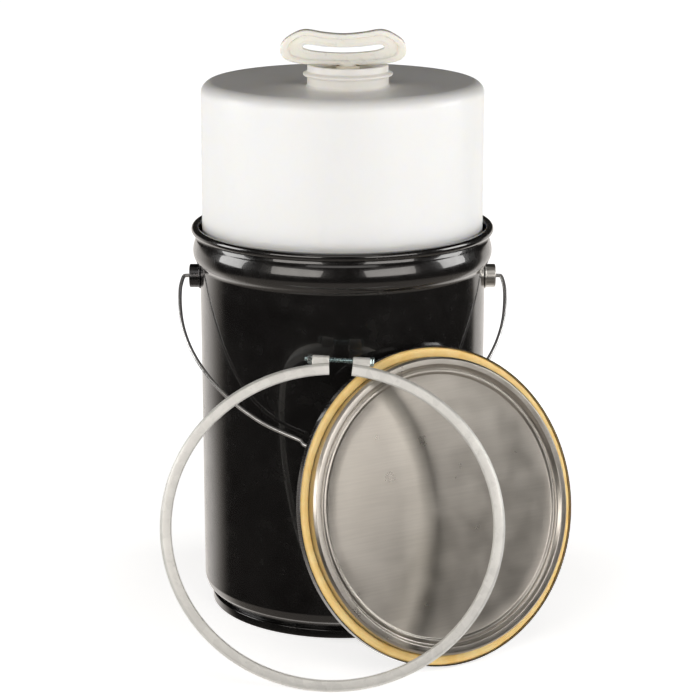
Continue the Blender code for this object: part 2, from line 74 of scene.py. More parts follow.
RING_R, RING_WIDE, RING_DEPTH, RING_HALF, RING_SHEET = 0.1530, 0.0082, 0.0102, 0.0082, 0.0014
RING_GAP, RING_LEAN, RING_ROLL = math.radians(4.2), math.radians(18.4), math.radians(3.2)
BOLT_R, BOLT_AXIS_R, BOLT_PITCH = 0.0025, 0.1561, 0.0008
LUG_LENGTH, LUG_SHEET = 0.0160, 0.0010
NUT_R, NUT_LENGTH, HEAD_R, HEAD_LENGTH = 0.0046, 0.0040, 0.0046, 0.0036
ROUND = 240            # facets round the large pieces


# ------------------------------------------------------------------ profile helpers
def fillet(points, radius, steps=5):
    """Rounds the corners of an open profile."""
    points = [np.array(p, float) for p in points]
    out = [points[0]]
    for a, b, c in zip(points, points[1:], points[2:]):
        u, v = a - b, c - b
        lu, lv = np.linalg.norm(u), np.linalg.norm(v)
        u, v = u / lu, v / lv
        angle = math.acos(max(-1.0, min(1.0, float(u @ v))))
        if angle > math.radians(176):
            out.append(b)
            continue
        cut = min(radius / math.tan(angle / 2), 0.48 * lu, 0.48 * lv)
        for s in range(steps + 1):
            t = s / steps
            out.append((1 - t) ** 2 * (b + u * cut) + 2 * t * (1 - t) * b + t * t * (b + v * cut))
    out.append(points[-1])
    return [tuple(p) for p in out]


def densify(points, longest):
    """Splits the long steps of a profile, so that the surface can be warped."""
    out = [tuple(points[0])]
    for a, b in zip(points, points[1:]):
        a, b = np.array(a, float), np.array(b, float)
        count = max(1, int(math.ceil(np.linalg.norm(b - a) / longest)))
        out += [tuple(a + (b - a) * k / count) for k in range(1, count + 1)]
    return out


def arc(cx, cz, radius, first, last, steps):
    """Points on a circle in the profile plane, angles in degrees."""
    angles = np.radians(np.linspace(first, last, steps + 1))
    return [(cx + radius * math.cos(a), cz + radius * math.sin(a)) for a in angles]


def offset(points, thickness):
    """The inner face of a sheet whose outer face is the given open profile."""
    points = [np.array(p, float) for p in points]
    out = []
    for k, p in enumerate(points):
        along = points[min(k + 1, len(points) - 1)] - points[max(k - 1, 0)]
        along /= np.linalg.norm(along)
        out.append((p[0] - along[1] * thickness, p[1] + along[0] * thickness))
    return out


def spline(points, per_span, closed=False):
    """A Catmull-Rom curve through the points."""
    points = [Vector(p) for p in points]
    count, out = len(points), []
    for k in range(count if closed else count - 1):
        if closed:
            a, b, c, d = (points[(k + i) % count] for i in (-1, 0, 1, 2))
        else:
            a, b, c, d = (points[min(max(k + i, 0), count - 1)] for i in (-1, 0, 1, 2))
        for s in range(per_span):
            t = s / per_span
            out.append(0.5 * ((2 * b) + (c - a) * t + (2 * a - 5 * b + 4 * c - d) * t * t
                              + (3 * b - a - 3 * c + d) * t ** 3))
    return out if closed else out + [points[-1]]


# --------------------------------------------------------------------- mesh helpers
def revolve(profile, segments=ROUND, start=0.0, sweep=None, warp=None):
    """Turns (radius, z[, centre x, centre y]) points about Z; warp(r, z, angle) moves them."""
    full = sweep is None
    steps = segments if full else segments + 1
    angles = start + (math.tau if full else sweep) * np.arange(steps) / segments
    verts, rings = [], []
    for point in profile:
        r, z = point[:2]
        cx, cy = point[2:] if len(point) == 4 else (0.0, 0.0)
        first = len(verts)
        if r < 1e-9:
            lift = warp(r, z, np.zeros(1))[1] if warp else 0.0
            verts.append((cx, cy, z + float(np.ravel(lift)[0])))
            rings.append([first])
            continue
        dr, dz = warp(r, z, angles) if warp else (0.0, 0.0)
        radius, height = r + dr + 0 * angles, z + dz + 0 * angles
        verts += list(zip(cx + radius * np.cos(angles), cy + radius * np.sin(angles), height))
        rings.append(list(range(first, first + steps)))
    faces, rows = [], []
    closed = len(rings[0]) > 1
    pairs = list(zip(rings, rings[1:])) + ([(rings[-1], rings[0])] if closed else [])
    for row, (low, high) in enumerate(pairs):
        for k in range(segments):
            n = (k + 1) % steps
            if len(low) == 1:
                faces.append((low[0], high[n], high[k]))
            elif len(high) == 1:
                faces.append((low[k], low[n], high[0]))
            else:
                faces.append((low[k], low[n], high[n], high[k]))
            rows.append(row)
    if not full:
        faces += [[ring[0] for ring in rings], [ring[-1] for ring in reversed(rings)]]
        rows += [0, 0]
    return verts, faces, rows


def tube(path, radius, sides=20, round_ends=True):
    """A round bar along a list of points, with domed ends."""
    path = [Vector(p) for p in path]
    radii = [radius] * len(path)
    if round_ends:
        first, last = (path[0] - path[1]).normalized(), (path[-1] - path[-2]).normalized()
        radii[0], radii[-1] = 0.62 * radius, 0.62 * radius
        path.insert(1, path[0] - first * 0.3 * radius)
        radii.insert(1, radius)
        path.insert(-1, path[-1] - last * 0.3 * radius)
        radii.insert(-1, radius)
    verts, faces = [], []
    along = (path[1] - path[0]).normalized()
    side = along.cross(Vector((0, 0, 1)) if abs(along.z) < 0.9 else Vector((0, 1, 0))).normalized()
    for k, point in enumerate(path):
        new = (path[min(k + 1, len(path) - 1)] - path[max(k - 1, 0)]).normalized()
        side = along.rotation_difference(new) @ side
        along = new
        up = along.cross(side)
        for s in range(sides):
            a = math.tau * s / sides
            verts.append(point + radii[k] * (math.cos(a) * side + math.sin(a) * up))
    for k in range(len(path) - 1):
        for s in range(sides):
            n, a, b = (s + 1) % sides, k * sides, (k + 1) * sides
            faces.append((a + s, a + n, b + n, b + s))
    faces.append(list(range(sides - 1, -1, -1)))
    faces.append([len(verts) - sides + s for s in range(sides)])
    return verts, faces


def loft(rings, closed_ends=True):
    """Skins a list of point rings of the same length."""
    verts, faces, count = [], [], len(rings[0])
    for ring in rings:
        verts += [tuple(p) for p in ring]
    for r in range(len(rings) - 1):
        for k in range(count):
            n = (k + 1) % count
            faces.append((r * count + k, r * count + n, (r + 1) * count + n, (r + 1) * count + k))
    if closed_ends:
        faces.append(list(range(count - 1, -1, -1)))
        faces.append([len(verts) - count + k for k in range(count)])
    return verts, faces


def mesh_of(name, verts, faces):
    """A mesh with outward normals."""
    mesh = bpy.data.meshes.new(name)
    mesh.from_pydata([tuple(v) for v in verts], [], [tuple(f) for f in faces])
    work = bmesh.new()
    work.from_mesh(mesh)
    bmesh.ops.recalc_face_normals(work, faces=work.faces)
    work.to_mesh(mesh)
    work.free()
    return mesh


def piece(name, body, node, matrix, mesh, looks, face_look=None, smooth=38, baked=False):
    """Puts a mesh in place of a CAD node, on that node's body.

    baked moves the mesh itself instead of the object, so that its box is tight.
    """
    if not isinstance(mesh, bpy.types.Mesh):
        mesh = mesh_of(name, *mesh[:2])
    for look in looks:
        mesh.materials.append(look)
    if face_look is not None:
        mesh.polygons.foreach_set("material_index", face_look)
    mesh.shade_smooth()
    mesh.set_sharp_from_angle(angle=math.radians(smooth))
    obj = bpy.data.objects.new(name, mesh)
    bpy.context.scene.collection.objects.link(obj)
    if baked:
        mesh.transform(matrix)
    else:
        obj.matrix_world = matrix
    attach(obj, body)
    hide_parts(node)
    return obj


def applied(obj):
    """The object's mesh with its modifiers applied."""
    depsgraph = bpy.context.evaluated_depsgraph_get()
    mesh = bpy.data.meshes.new_from_object(obj.evaluated_get(depsgraph))
    bpy.data.objects.remove(obj)
    return mesh


# ---------------------------------------------------------------------------- seats
low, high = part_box("pail_body")
PAIL = Matrix.Translation(((low.x + high.x) / 2, (low.y + high.y) / 2, 0))
low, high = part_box("neck_plug")
NECK = ((low.x + high.x) / 2 - PAIL.translation.x, (low.y + high.y) / 2 - PAIL.translation.y)
PLUG = PAIL @ Matrix.Translation((*NECK, SEAT_Z))
BAIL = PAIL @ Matrix.Translation((0, 0, EAR_Z)) @ Matrix.Rotation(-BAIL_REST, 4, "X")


def leaning_seat(joint, lean, edge_r, back, front):
    """The seat of a round piece that leans back: +Z towards the pail, +Y down."""
    reach = (front - back * math.sin(lean)) / (1 + math.sin(lean))
    axis = Vector(joint["axis"])
    turned = (Matrix.Rotation(math.atan2(axis.y, axis.x), 4, "Z")
              @ Matrix.Rotation(-(math.pi / 2 + lean), 4, "X"))
    return Matrix.Translation(joint["pos_m"]) @ turned @ Matrix.Translation((0, -edge_r, reach))


LID = leaning_seat(JOINTS["lid_tip"], LID_LEAN, LID_R, 0.0, LID_SINK)
RING = leaning_seat(JOINTS["ring_tip"], RING_LEAN, RING_R, RING_HALF, RING_HALF)
BOLT = (RING @ Matrix.Translation((BOLT_AXIS_R * math.sin(RING_ROLL),
                                   -BOLT_AXIS_R * math.cos(RING_ROLL), 0))
        @ Matrix.Rotation(RING_ROLL, 4, "Z"))


# ------------------------------------------------------------------------ materials
class Look:
    """A Principled material with a few short cuts for its nodes."""

    def __init__(self, name, colour, roughness, metallic=0.0, seat=None, **sockets):
        self.mat = bpy.data.materials.new(name)
        self.mat.use_nodes = True
        self.tree = self.mat.node_tree
        self.bsdf = self.tree.nodes["Principled BSDF"]
        self.bsdf.inputs["Base Color"].default_value = (*colour, 1)
        self.bsdf.inputs["Roughness"].default_value = roughness
        self.bsdf.inputs["Metallic"].default_value = metallic
        for key, value in sockets.items():
            self.bsdf.inputs[key.replace("_", " ")].default_value = value
        self.coords = self.tree.nodes.new("ShaderNodeTexCoord").outputs["Object"]
        if seat is not None:
            self.coords = self.node("Mapping", {
                "Vector": self.coords, "Location": seat.translation,
                "Rotation": seat.to_euler()}, vector_type="TEXTURE").outputs[0]

    def node(self, kind, inputs, **props):
        made = self.tree.nodes.new("ShaderNode" + kind)
        for key, value in props.items():
            setattr(made, key, value)
        for key, value in inputs.items():
            if isinstance(value, bpy.types.NodeSocket):
                self.tree.links.new(value, made.inputs[key])
            else:
                made.inputs[key].default_value = value
        return made

    def math(self, operation, a, b=0.0, clamp=False):
        return self.node("Math", {0: a, 1: b}, operation=operation, use_clamp=clamp).outputs[0]

    def stretched(self, stretch, vector=None):
        vector = vector or self.coords
        return self.node("Mapping", {"Vector": vector, "Scale": stretch}).outputs[0]

    def noise(self, scale, detail=3.0, stretch=(1, 1, 1), vector=None):
        vector = self.stretched(stretch, vector)
        return self.node("TexNoise", {"Vector": vector, "Scale": scale, "Detail": detail}).outputs[0]

    def cells(self, scale, output="Color"):
        return self.node("TexVoronoi", {"Vector": self.coords, "Scale": scale}).outputs[output]

    def ramp(self, factor, *stops):
        made = self.node("ValToRGB", {0: factor})
        points = made.color_ramp.elements
        for k, (place, colour) in enumerate(stops):
            point = points[k] if k < 2 else points.new(place)
            point.position = place
            if isinstance(colour, (int, float)):
                colour = (colour, colour, colour)
            point.color = (*colour, 1)
        return made.outputs[0]

    def mix(self, factor, a, b, blend="MIX"):
        made = self.tree.nodes.new("ShaderNodeMix")
        made.data_type, made.blend_type = "RGBA", blend
        for index, value in ((0, factor), (6, a), (7, b)):
            if isinstance(value, bpy.types.NodeSocket):
                self.tree.links.new(value, made.inputs[index])
            else:
                made.inputs[index].default_value = value if index == 0 else (*value, 1)
        return made.outputs[2]

    def bump(self, height, distance, strength=1.0, before=None):
        inputs = {"Height": height, "Distance": distance, "Strength": strength}
        if before is not None:
            inputs["Normal"] = before
        return self.node("Bump", inputs).outputs[0]

    def polar(self, around=0.0):
        """(radius, angle, z) of the local point, so grain can run round a piece."""
        split = self.node("SeparateXYZ", {0: self.coords})
        x, y, z = split.outputs
        radius = self.math("SQRT", self.math("ADD", self.math("MULTIPLY", x, x),
                                             self.math("MULTIPLY", y, y)))
        angle = self.math("ARCTAN2", y, x)
        turned = self.math("MULTIPLY", angle, around)
        return self.node("CombineXYZ", {0: radius, 1: turned, 2: z}).outputs[0]

    def put(self, **links):
        for key, value in links.items():
            self.tree.links.new(value, self.bsdf.inputs[key.replace("_", " ")])
        return self.mat


def enamel():
    """High-gloss stoving enamel: faint orange peel, a little dust, chips low on the wall."""
    look = Look("black_enamel", (0.006, 0.0055, 0.0055), 0.22, Coat_Weight=1.0,
                Coat_Roughness=0.025, Specular_IOR_Level=0.5)
    haze = look.noise(14, 4)
    dust_cell = look.node("TexVoronoi", {"Vector": look.coords, "Scale": 150.0})
    dust = look.math("LESS_THAN", dust_cell.outputs["Distance"], 0.055)
    rare = look.math("GREATER_THAN", look.node("SeparateColor", {0: dust_cell.outputs["Color"]})
                     .outputs[0], 0.965)
    speck = look.math("MULTIPLY", dust, rare)
    chip_cell = look.node("TexVoronoi", {"Vector": look.coords, "Scale": 42.0})
    chip = look.math("LESS_THAN", look.math("ADD", chip_cell.outputs["Distance"],
                                            look.math("MULTIPLY", look.noise(900, 2), 0.05)), 0.085)
    chip = look.math("MULTIPLY", chip, look.math(
        "GREATER_THAN", look.node("SeparateColor", {0: chip_cell.outputs["Color"]}).outputs[1], 0.90))
    height = look.node("SeparateXYZ", {0: look.coords}).outputs[2]
    chip = look.math("MULTIPLY", chip, look.math("LESS_THAN", height, 0.045))
    colour = look.ramp(haze, (0.3, (0.0035, 0.0032, 0.0032)), (0.7, (0.0065, 0.006, 0.0058)))
    colour = look.mix(look.math("MULTIPLY", speck, 0.5), colour, (0.30, 0.29, 0.27))
    colour = look.mix(chip, colour, (0.62, 0.61, 0.58))
    rough = look.ramp(look.noise(60, 5), (0.25, 0.14), (0.8, 0.34))
    peel = look.bump(look.noise(420, 2), 0.00004, 0.35)
    return look.put(Base_Color=colour, Roughness=rough, Normal=look.bump(
        look.noise(30, 2), 0.0004, 0.10, peel))


def lid_enamel():
    """The same enamel on the lid's outer side, with fine handling scratches."""
    look = Look("lid_enamel", (0.006, 0.0055, 0.0055), 0.25, seat=LID, Coat_Weight=1.0,
                Coat_Roughness=0.04)
    scratch = look.noise(60, 2, (1, 26, 1))
    colour = look.ramp(look.noise(22, 4), (0.3, (0.0045, 0.004, 0.004)), (0.75, (0.009, 0.008, 0.0075)))
    rough = look.ramp(scratch, (0.45, 0.18), (0.62, 0.36))
    return look.put(Base_Color=colour, Roughness=rough,
                    Normal=look.bump(look.noise(420, 2), 0.00004, 0.4))


def tinplate():
    """Bare tinplate: faint rolling grain, blotches and uneven gloss."""
    look = Look("tinplate", (0.60, 0.57, 0.52), 0.30, 1.0, seat=LID)
    grain = look.noise(520, 2, (0.04, 1, 1))
    blotch = look.noise(9, 4)
    colour = look.ramp(blotch, (0.3, (0.585, 0.555, 0.505)), (0.7, (0.66, 0.63, 0.585)))
    colour = look.mix(look.ramp(grain, (0.35, 0.0), (0.65, 0.22)), colour, (0.47, 0.45, 0.42))
    rough = look.ramp(look.noise(34, 5), (0.3, 0.27), (0.75, 0.37))
    return look.put(Base_Color=colour, Roughness=rough)


def galvanised(name, colour, roughness, polar=True, grain=1500, spangle=120, metallic=1.0,
               seat=None):
    """Dull zinc: small spangle, and drawing lines along the strip or wire."""
    look = Look(name, colour, roughness, metallic, seat)
    dark, light = (tuple(c * s for c in colour) for s in (0.90, 1.08))
    tone = look.ramp(look.cells(spangle), (0.2, dark), (0.8, light))
    cloud = look.ramp(look.noise(40, 5), (0.3, dark), (0.75, light))
    base = look.mix(0.55, tone, cloud)
    lines = look.noise(grain, 3, (1, 1, 1), look.polar(0.02) if polar else None)
    worn = look.ramp(look.noise(210, 5), (0.60, 0.0), (0.74, 1.0))
    base = look.mix(look.math("MULTIPLY", worn, 0.35), base, tuple(c * 0.70 for c in colour))
    rough = look.ramp(lines, (0.3, roughness - 0.06), (0.7, roughness + 0.08))
    fine = look.bump(lines, 0.00003, 0.45)
    return look.put(Base_Color=base, Roughness=rough,
                    Normal=look.bump(look.noise(260, 4), 0.00006, 0.35, fine))


def natural_plastic(name, colour, warm, roughness, depth, share):
    """Unpigmented HDPE: milky, a little waxy, with a faint moulded grain."""
    look = Look(name, colour, roughness, Subsurface_Weight=share, Subsurface_Radius=(1.0, 0.78, 0.5),
                Subsurface_Scale=depth, IOR=1.54, Specular_IOR_Level=0.45)
    cloud = look.noise(16, 4)
    base = look.ramp(cloud, (0.25, warm), (0.75, colour))
    scuff = look.ramp(look.noise(46, 5, (1, 1, 0.35)), (0.60, 0.0), (0.78, 1.0))
    base = look.mix(look.math("MULTIPLY", scuff, 0.25), base, tuple(c * 0.93 for c in warm))
    rough = look.ramp(look.noise(90, 5), (0.3, roughness - 0.06), (0.75, roughness + 0.08))
    fine = look.bump(look.noise(1300, 2), 0.00003, 0.45)
    return look.put(Base_Color=base, Roughness=rough,
                    Normal=look.bump(look.noise(55, 3), 0.0005, 0.12, fine))


def gasket_compound():
    """Flowed-in sealing compound: ochre, matt, with flow ripples, and pin-prick pores whose darker
    colour is painted shade.
    """
    look = Look("ochre_compound", (0.95, 0.68, 0.26), 0.46, seat=LID, Subsurface_Weight=0.08,
                Subsurface_Scale=0.002)
    flow = look.noise(150, 4, (1, 1, 1), look.polar(0.10))
    base = look.ramp(look.noise(70, 4), (0.3, (0.93, 0.62, 0.20)), (0.7, (0.98, 0.74, 0.33)))
    # The pores are real, but they have no bump; their darker colour is painted shade in the tiny holes.
    pore_painted_shade = look.math("LESS_THAN", look.cells(900, "Distance"), 0.16)
    base = look.mix(look.math("MULTIPLY", pore_painted_shade, 0.35), base, (0.70, 0.42, 0.13))
    rough = look.ramp(flow, (0.3, 0.38), (0.7, 0.56))
    return look.put(Base_Color=base, Roughness=rough, Normal=look.bump(flow, 0.0004, 0.35))


def grip_plastic():
    """Black moulded plastic with a fine leather-like texture."""
    look = Look("grip_plastic", (0.016, 0.016, 0.017), 0.48)
    base = look.ramp(look.noise(120, 4), (0.3, (0.012, 0.012, 0.013)), (0.7, (0.028, 0.028, 0.029)))
    rough = look.ramp(look.noise(400, 3), (0.3, 0.40), (0.7, 0.58))
    return look.put(Base_Color=base, Roughness=rough,
                    Normal=look.bump(look.cells(1100, "Distance"), 0.00012, 0.5))


def zinc_plate(name, colour):
    """Bright zinc plate with the blue-green passivation's drifting tint."""
    look = Look(name, colour, 0.24, 1.0)
    tint = look.ramp(look.noise(240, 3), (0.25, tuple(c * 0.80 for c in colour)), (0.5, colour),
                     (0.8, (colour[0] * 1.25, colour[1] * 1.15, colour[2] * 1.12)))
    rough = look.ramp(look.noise(600, 4), (0.3, 0.18), (0.75, 0.36))
    return look.put(Base_Color=tint, Roughness=rough,
                    Normal=look.bump(look.noise(1500, 3), 0.00003, 0.4))


ENAMEL, LID_ENAMEL, TINPLATE = enamel(), lid_enamel(), tinplate()
BAND_ZINC = galvanised("band_zinc", (0.83, 0.825, 0.795), 0.50, metallic=0.55, seat=RING)
LUG_ZINC = galvanised("lug_zinc", (0.78, 0.775, 0.745), 0.46, polar=False, metallic=0.6)
WIRE_ZINC = galvanised("wire_zinc", (0.60, 0.60, 0.60), 0.30, polar=False, spangle=400)
EAR_ZINC = galvanised("ear_zinc", (0.66, 0.65, 0.62), 0.32, polar=False, spangle=500)
# The left ear is the same zinc cup as the right one; its near-black colour is a painted dark reflection.
EAR_ZINC_PAINTED_DARK = zinc_plate("ear_zinc_painted_dark", (0.085, 0.085, 0.088))
BOTTLE_PLASTIC = natural_plastic("bottle_hdpe", (0.945, 0.915, 0.86), (0.935, 0.90, 0.835),
                                 0.36, 0.012, 0.45)
PLUG_PLASTIC = natural_plastic("plug_hdpe", (0.86, 0.81, 0.70), (0.82, 0.75, 0.62),
                               0.34, 0.006, 0.50)
LOOP_PLASTIC = natural_plastic("loop_hdpe", (0.94, 0.925, 0.88), (0.925, 0.90, 0.835),
                               0.30, 0.006, 0.50)
COMPOUND, GRIP_PLASTIC = gasket_compound(), grip_plastic()
BOLT_ZINC = zinc_plate("bolt_zinc", (0.46, 0.56, 0.57))
NUT_ZINC = zinc_plate("nut_zinc", (0.55, 0.60, 0.60))


# ----------------------------------------------------------------------- steel pail
def soft_dents(r, z, angle):
    """Thin sheet isn't a true cylinder: broad, shallow waves and a seam at the back."""
    wave = (0.00010 * np.sin(3 * angle + 9 * z) + 0.00007 * np.sin(7 * angle - 16 * z + 1.1)
            + 0.00005 * np.sin(11 * angle + 31 * z + 0.4))
    inside = min(1.0, max(0.0, (z - 0.03) / 0.04)) * min(1.0, max(0.0, (0.345 - z) / 0.03))
    away = (angle - math.pi / 2 + math.pi) % math.tau - math.pi
    seam = np.exp(-(away / 0.020) ** 2) - 1.6 * np.exp(-(away / 0.007) ** 2)
    return wave * inside - 0.00018 * seam * inside, 0.0


curl_x, curl_z = CURL_OUTER_R - CURL_R, PAIL_HEIGHT - CURL_R
chime_in = CHIME_OUTER_R - 0.0033
foot_r = chime_in + GAP + SHEET
swell = []
for k in range(25):
    t = k / 24
    bulge = math.sin(math.pi * t) ** 0.62
    swell.append((BODY_R + (SWELL_R - BODY_R) * bulge + 0.0029 * t * t * (1 - bulge),
                  SWELL_LOW + (SWELL_HIGH - SWELL_LOW) * t))
wall = fillet([(foot_r, 0.0012), (foot_r, 0.0102), (BODY_R - 0.0020, 0.0190), (BODY_R, 0.0262),
               (BODY_R, SWELL_LOW - 0.0030)], 0.0060, 7)[:-1]
wall += [(BODY_R, SWELL_LOW - 0.0030), (BODY_R + 0.0001, SWELL_LOW - 0.0016)] + swell[1:]
wall += [(BODY_R + 0.0026, SWELL_HIGH + 0.0022)]
wall = densify(wall, 0.012)
curl = arc(curl_x, curl_z, CURL_R, 180, -75, 30)
curl_in = arc(curl_x, curl_z, CURL_R - SHEET, -75, 165, 22)
pail_profile = offset(wall, SHEET) + curl + curl_in + wall[::-1]
piece("pail_shell", "pail", "pail_body", PAIL, revolve(pail_profile, warp=soft_dents), [ENAMEL])

under = fillet([(0.001, PANEL_Z), (0.1150, PANEL_Z), (0.1180, PANEL_Z - 0.0018),
                (0.1215, PANEL_Z - 0.0018), (0.1245, PANEL_Z), (chime_in - 0.0026, PANEL_Z),
                (chime_in - SHEET, PANEL_Z - 0.0024), (chime_in - SHEET, 0.0),
                (CHIME_OUTER_R, 0.0), (CHIME_OUTER_R, CHIME_HEIGHT),
                (chime_in + 2 * GAP + SHEET, CHIME_HEIGHT)], 0.0011)
over = fillet([(chime_in + 2 * GAP + SHEET, CHIME_HEIGHT), (chime_in + 2 * GAP + SHEET, SHEET),
               (chime_in, SHEET), (chime_in, PANEL_Z - 0.0020),
               (chime_in - 0.0022, PANEL_Z + SHEET), (0.1245, PANEL_Z + SHEET),
               (0.1215, PANEL_Z + SHEET - 0.0018), (0.1180, PANEL_Z + SHEET - 0.0018),
               (0.1150, PANEL_Z + SHEET), (0.001, PANEL_Z + SHEET)], 0.0009)
base_profile = [(0, PANEL_Z)] + densify(under, 0.03) + densify(over, 0.03) + [(0, PANEL_Z + SHEET)]
piece("pail_base", "pail", "pail_bottom", PAIL, revolve(base_profile), [ENAMEL])

# ------------------------------------------------------------------------------ ears
ear_outside = fillet([(EAR_FLANGE_R, 0.0), (EAR_FLANGE_R, EAR_SHEET), (EAR_R, EAR_SHEET),
                      (EAR_R, EAR_DEPTH - 0.0005), (EAR_R - 0.0022, EAR_DEPTH),
                      (EAR_HOLE_R, EAR_DEPTH)], 0.0012, 6)
ear_inside = fillet([(EAR_HOLE_R, EAR_DEPTH - EAR_SHEET), (EAR_R - EAR_SHEET, EAR_DEPTH - EAR_SHEET),
                     (EAR_R - EAR_SHEET, 0.0)], 0.0012, 6)
# The left ear takes the zinc painted near black, a painted dark reflection; the right ear takes plain
# zinc.
for side, sign, look in (("left", -1, EAR_ZINC_PAINTED_DARK), ("right", 1, EAR_ZINC)):
    seat = (PAIL @ Matrix.Translation((sign * (BODY_R + GAP), 0, EAR_Z))
            @ Matrix.Rotation(sign * math.pi / 2, 4, "Y"))
    piece("ear_cup_" + side, "pail", "ear_" + side, seat,
          revolve(ear_outside + ear_inside, 96), [look])

# ------------------------------------------------------------------------------ bail
ear_face = BODY_R + GAP + EAR_DEPTH
half = [
    (GRIP_HALF + 0.0030, BAIL_DROP), (GRIP_HALF + 0.0060, BAIL_DROP - 0.0020),
    (GRIP_HALF + 0.0090, BAIL_DROP - 0.0062),
    (0.0470, 0.1930), (0.0580, 0.1875), (0.0750, 0.1780), (0.0890, 0.1675), (0.1040, 0.1545),
    (0.1180, 0.1395), (0.1310, 0.1225), (0.1430, 0.1030), (0.1525, 0.0820),
    (0.1590, 0.0600), (0.1622, 0.0380), (0.1630, 0.0180), (0.1618, 0.0075),
    (ear_face + 0.0058, 0.0012), (ear_face + 0.0034, 0.0), (ear_face - 0.0060, 0.0),
    (ear_face - 0.0078, 0.0008), (ear_face - 0.0084, 0.0028), (ear_face - 0.0084, 0.0066),
]
bend = spline([(x, 0, -drop) for x, drop in half], 6)
bail_path = [Vector((-p.x, p.y, p.z)) for p in reversed(bend)]
bail_path += [Vector((x, 0, -BAIL_DROP)) for x in (-GRIP_HALF, -0.015, 0, 0.015, GRIP_HALF)] + bend
piece("bail_rod", "bail", "bail_wire", BAIL, tube(bail_path, WIRE_R), [WIRE_ZINC])

grip_seat = BAIL @ Matrix.Translation((0, 0, -BAIL_DROP)) @ Matrix.Rotation(math.pi / 2, 4, "Y")
grip_outside = []
for k in range(49):
    z = -GRIP_HALF + 2 * GRIP_HALF * k / 48
    rib = 0.00035 * (0.5 + 0.5 * math.cos(math.tau * k / 6)) if 3 < k < 45 else 0.0
    grip_outside.append((GRIP_R - rib, z))
grip_outside[0] = (GRIP_R - 0.0007, -GRIP_HALF)
grip_outside[-1] = (GRIP_R - 0.0007, GRIP_HALF)
grip_outside = [(WIRE_R + GAP, -GRIP_HALF)] + grip_outside + [(WIRE_R + GAP, GRIP_HALF)]
piece("bail_handle", "grip", "bail_grip", grip_seat, revolve(grip_outside, 48), [GRIP_PLASTIC])


# ------------------------------------------------------------------------ inner bottle
def blow_waves(r, z, angle):
    """Blow-moulded walls: shallow unevenness and the mould's parting line on both sides."""
    on_wall = 1.0 if r > BOTTLE_R - 0.03 else 0.0
    wave = (0.00022 * np.sin(2 * angle + 6 * z) + 0.00013 * np.sin(5 * angle - 13 * z + 2.0)
            + 0.00008 * np.sin(9 * angle + 26 * z))
    parting = np.exp(-((np.abs(np.sin(angle))) / 0.006) ** 2) * 0.00022
    return on_wall * (wave - 0.00025 + parting), 0.0


def blended(a, b, steps):
    """Rings that pass from a circle on the bottle's axis to one on the neck's axis."""
    out = []
    for k in range(1, steps):
        t = k / steps
        out.append((a[0] + (b[0] - a[0]) * t, a[1] + (b[1] - a[1]) * t, NECK[0] * t, NECK[1] * t))
    return out


def at_neck(points):
    return [(r, z, *NECK) for r, z in points]


base, top, skin = BOTTLE_BASE_Z, BOTTLE_TOP_Z, BOTTLE_WALL
outer = [(0, base + 0.0030), (0.050, base + 0.0030), (0.0950, base + 0.0030), (0.1000, base + 0.0021)]
outer += [(0.1070, base)]
outer += arc(BOTTLE_R - BASE_R, base + BASE_R, BASE_R, -84, 0, 14)
outer += densify([(BOTTLE_R, base + BASE_R + 0.004), (BOTTLE_R, top - SHOULDER_R - 0.004)], 0.012)
shoulder = arc(BOTTLE_R - SHOULDER_R, top - SHOULDER_R, SHOULDER_R, 0, 90, 16)
outer += shoulder
neck_foot = (NECK_R + 0.0034, top)
outer += blended(shoulder[-1], neck_foot, 8)
outer += at_neck(fillet([neck_foot, (NECK_R + 0.0014, top + 0.0006), (NECK_R + 0.0003, top + 0.0026),
                         (NECK_R + 0.0003, top + 0.0100), (NECK_BEAD_R, top + 0.0113),
                         (NECK_BEAD_R, top + 0.0135), (NECK_R, top + 0.0152), (NECK_R, MOUTH_Z),
                         (MOUTH_R, MOUTH_Z)], 0.0014, 5))
inner = at_neck(fillet([(MOUTH_R, MOUTH_Z), (MOUTH_R, SEAT_Z), (SEAT_R, SEAT_Z),
                        (SEAT_R, top - 0.0040), (SEAT_R + 0.0050, top - skin)], 0.0008, 4))
inner_shoulder = arc(BOTTLE_R - SHOULDER_R, top - SHOULDER_R, SHOULDER_R - skin, 90, 0, 10)
inner += blended(inner_shoulder[0], (SEAT_R + 0.0050, top - skin), 8)[::-1]
inner += inner_shoulder
inner += densify([(BOTTLE_R - skin, top - SHOULDER_R - 0.004),
                  (BOTTLE_R - skin, base + BASE_R + 0.004)], 0.03)
inner += arc(BOTTLE_R - BASE_R, base + BASE_R, BASE_R - skin, 0, -84, 8)
inner += [(0.1070, base + skin), (0.0970, base + 0.0030 + skin), (0, base + 0.0030 + skin)]
piece("bottle_shell", "bottle", "inner_bottle", PAIL, revolve(outer + inner, warp=blow_waves),
      [BOTTLE_PLASTIC], smooth=50)

# -------------------------------------------------------------------- plug and handle
plug_profile = [(0, 0.0045)] + fillet([
    (0.001, 0.0045), (STEM_R + 0.0030, 0.0045), (PLUG_R - 0.0030, 0.0040), (PLUG_R - 0.0024, GAP),
    (PLUG_R, GAP), (PLUG_R, 0.0082), (PLUG_R - 0.0022, 0.0082), (PLUG_R - 0.0034, 0.0068),
    (PLUG_R - 0.0060, 0.0064), (BOSS_R, 0.0064), (BOSS_R, 0.0138), (STEM_R + GAP, 0.0138),
    (STEM_R + GAP, 0.0060), (0.001, 0.0060)], 0.0007, 4) + [(0, 0.0060)]
piece("plug_cap", "plug", "neck_plug", PLUG, revolve(plug_profile, 160), [PLUG_PLASTIC], smooth=50)

loop_half = [(0, 0.0136), (0.0190, 0.0151), (0.0370, 0.0177), (0.0500, 0.0130), (0.0590, 0.0056),
             (0.0608, -0.0028), (0.0560, -0.0102), (0.0430, -0.0142), (0.0220, -0.0153)]
hole_half = [(0, 0.0008), (0.0170, 0.0015), (0.0330, 0.0036), (0.0375, 0.0031), (0.0393, 0.0018),
             (0.0388, 0.0003), (0.0365, -0.0008), (0.0300, -0.0025), (0.0160, -0.0040)]


